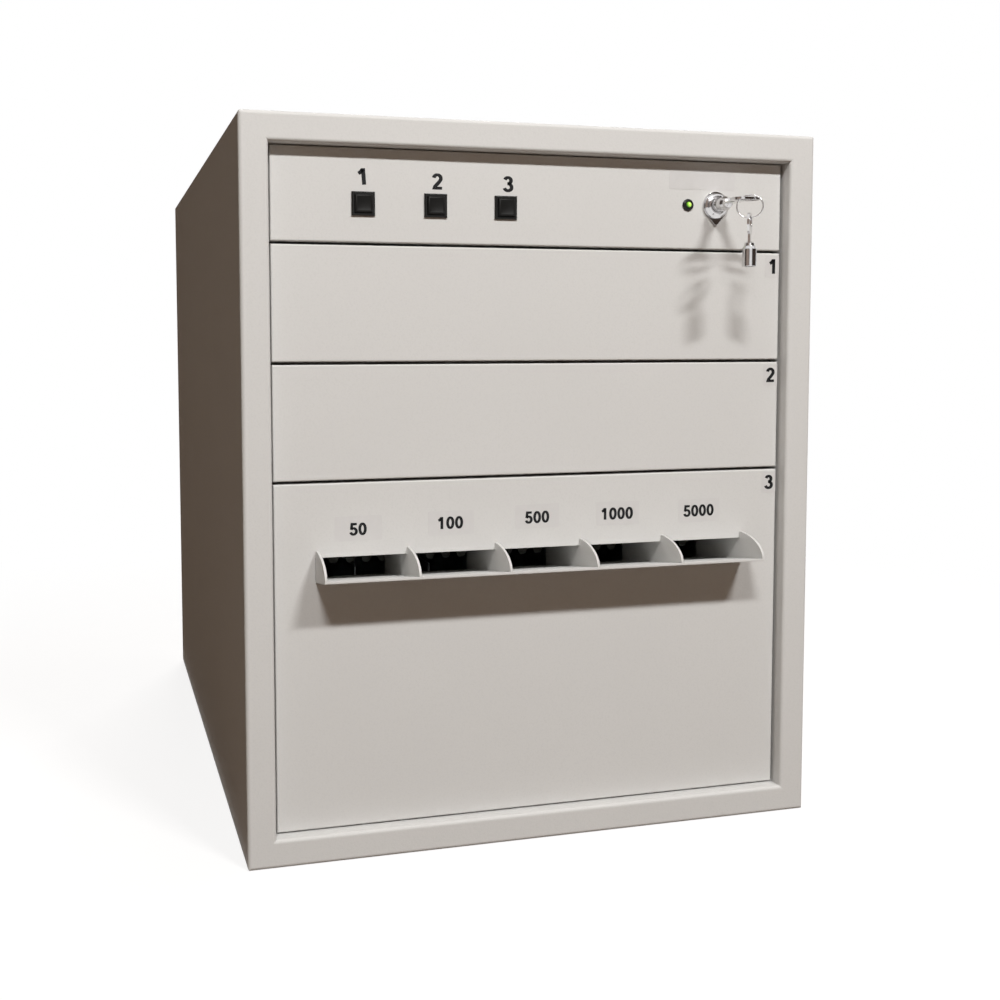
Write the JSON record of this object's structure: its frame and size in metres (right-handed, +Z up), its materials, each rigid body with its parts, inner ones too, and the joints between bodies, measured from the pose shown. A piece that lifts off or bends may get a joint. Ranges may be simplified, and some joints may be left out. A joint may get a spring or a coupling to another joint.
{
  "type": "time delay safe",
  "caption": "Steel cash cabinet with push-buttons, key switch and indicator above two plain drawers and a drawer with a row of deposit slots.",
  "frame": {"origin": "middle of the cabinet's underside", "axes": "+X to the right as seen from the front, front towards -Y, +Z up"},
  "size_m": [0.5, 0.7762, 0.6],
  "materials": {
    "paint": "fine-texture powder coat, satin",
    "zinc": "bright zinc plating",
    "chrome": "polished",
    "black_plastic": "moulded, satin",
    "lens_green": "clear moulded, lit",
    "comb_plastic": "moulded, satin",
    "board_green": "solder mask, gloss",
    "coil_black": "coil wrap on a steel frame",
    "supply_metal": "folded sheet, satin",
    "battery_black": "moulded case"
  },
  "bodies": {
    "cabinet": {"body_wrap": "paint", "front_frame": "paint", "back_panel": "paint", "back_screws": "zinc", "partitions": "paint", "slide_brackets": "zinc", "slides_outer": "zinc", "lock_brackets": "zinc", "lock_solenoids": "coil_black", "cable_gland": "black_plastic", "gland_nut": "black_plastic", "control_panel": "paint", "panel_screws": "zinc", "button_housings": "black_plastic", "lamp_holder": "black_plastic", "lamp_lens": "lens_green", "lamp_nut": "zinc", "lock_escutcheon": "chrome", "lock_body": "chrome", "lock_nut": "zinc", "switch_block": "black_plastic", "controller_board": "board_green", "board_standoffs": "zinc", "power_supply": "supply_metal", "backup_battery": "battery_black", "battery_strap": "zinc"},
    "drawer_1": {"drawer_front_1": "paint", "tray_1": "zinc", "tray_dividers_1": "zinc", "slides_inner_1": "zinc", "strike_1": "zinc"},
    "slide_members_1": {"slides_middle_1": "zinc"},
    "bolt_1": {"latch_bolt_1": "chrome"},
    "button_1": {"button_cap_1": "black_plastic"},
    "drawer_2": {"drawer_front_2": "paint", "tray_2": "zinc", "tray_dividers_2": "zinc", "slides_inner_2": "zinc", "strike_2": "zinc"},
    "slide_members_2": {"slides_middle_2": "zinc"},
    "bolt_2": {"latch_bolt_2": "chrome"},
    "button_2": {"button_cap_2": "black_plastic"},
    "drawer_3": {"drawer_front_3": "paint", "cash_bin": "zinc", "bin_dividers": "zinc", "deposit_chute": "paint", "throat_hood": "paint", "anti_fishing_comb": "comb_plastic", "slides_inner_3": "zinc", "strike_3": "zinc"},
    "slide_members_3": {"slides_middle_3": "zinc"},
    "bolt_3": {"latch_bolt_3": "chrome"},
    "button_3": {"button_cap_3": "black_plastic"},
    "lock_plug": {"lock_plug": "chrome"},
    "key": {"key": "chrome"},
    "key_ring": {"key_ring": "chrome"},
    "spare_key": {"spare_key": "chrome"}
  },
  "joints": [
    {"name": "drawer_1_slide", "type": "slide", "parent": "cabinet", "child": "drawer_1", "axis": [0, -1, 0], "range_m": [0, 0.5]},
    {"name": "slide_members_1_slide", "type": "slide", "parent": "cabinet", "child": "slide_members_1", "axis": [0, -1, 0], "range_m": [0, 0.25]},
    {"name": "bolt_1_throw", "type": "slide", "parent": "cabinet", "child": "bolt_1", "axis": [-1, 0, 0], "range_m": [0, 0.01]},
    {"name": "button_1_press", "type": "slide", "parent": "cabinet", "child": "button_1", "axis": [0, 1, 0], "range_m": [0, 0.0025], "stiffness_N_per_m": 400},
    {"name": "drawer_2_slide", "type": "slide", "parent": "cabinet", "child": "drawer_2", "axis": [0, -1, 0], "range_m": [0, 0.5]},
    {"name": "slide_members_2_slide", "type": "slide", "parent": "cabinet", "child": "slide_members_2", "axis": [0, -1, 0], "range_m": [0, 0.25]},
    {"name": "bolt_2_throw", "type": "slide", "parent": "cabinet", "child": "bolt_2", "axis": [-1, 0, 0], "range_m": [0, 0.01]},
    {"name": "button_2_press", "type": "slide", "parent": "cabinet", "child": "button_2", "axis": [0, 1, 0], "range_m": [0, 0.0025], "stiffness_N_per_m": 400},
    {"name": "drawer_3_slide", "type": "slide", "parent": "cabinet", "child": "drawer_3", "axis": [0, -1, 0], "range_m": [0, 0.5]},
    {"name": "slide_members_3_slide", "type": "slide", "parent": "cabinet", "child": "slide_members_3", "axis": [0, -1, 0], "range_m": [0, 0.25]},
    {"name": "bolt_3_throw", "type": "slide", "parent": "cabinet", "child": "bolt_3", "axis": [-1, 0, 0], "range_m": [0, 0.01]},
    {"name": "button_3_press", "type": "slide", "parent": "cabinet", "child": "button_3", "axis": [0, 1, 0], "range_m": [0, 0.0025], "stiffness_N_per_m": 400},
    {"name": "lock_turn", "type": "hinge", "parent": "cabinet", "child": "lock_plug", "pos_m": [0.161, -0.338, 0.5388], "axis": [0, 1, 0], "range_deg": [0, 90]},
    {"name": "key_pull", "type": "slide", "parent": "lock_plug", "child": "key", "axis": [0, -1, 0], "range_m": [0, 0.025]},
    {"name": "ring_swing", "type": "hinge", "parent": "key", "child": "key_ring", "pos_m": [0.161, -0.3974, 0.541], "axis": [0.8192, -0.5736, 0], "range_deg": [-35, 35]},
    {"name": "spare_swing", "type": "hinge", "parent": "key_ring", "child": "spare_key", "pos_m": [0.161, -0.3974, 0.523], "axis": [0.8192, -0.5736, 0], "range_deg": [-40, 40]}
  ],
  "couplings": [
    {"joint": "slide_members_1_slide", "follows": "drawer_1_slide", "ratio": 0.5},
    {"joint": "slide_members_2_slide", "follows": "drawer_2_slide", "ratio": 0.5},
    {"joint": "slide_members_3_slide", "follows": "drawer_3_slide", "ratio": 0.5}
  ]
}
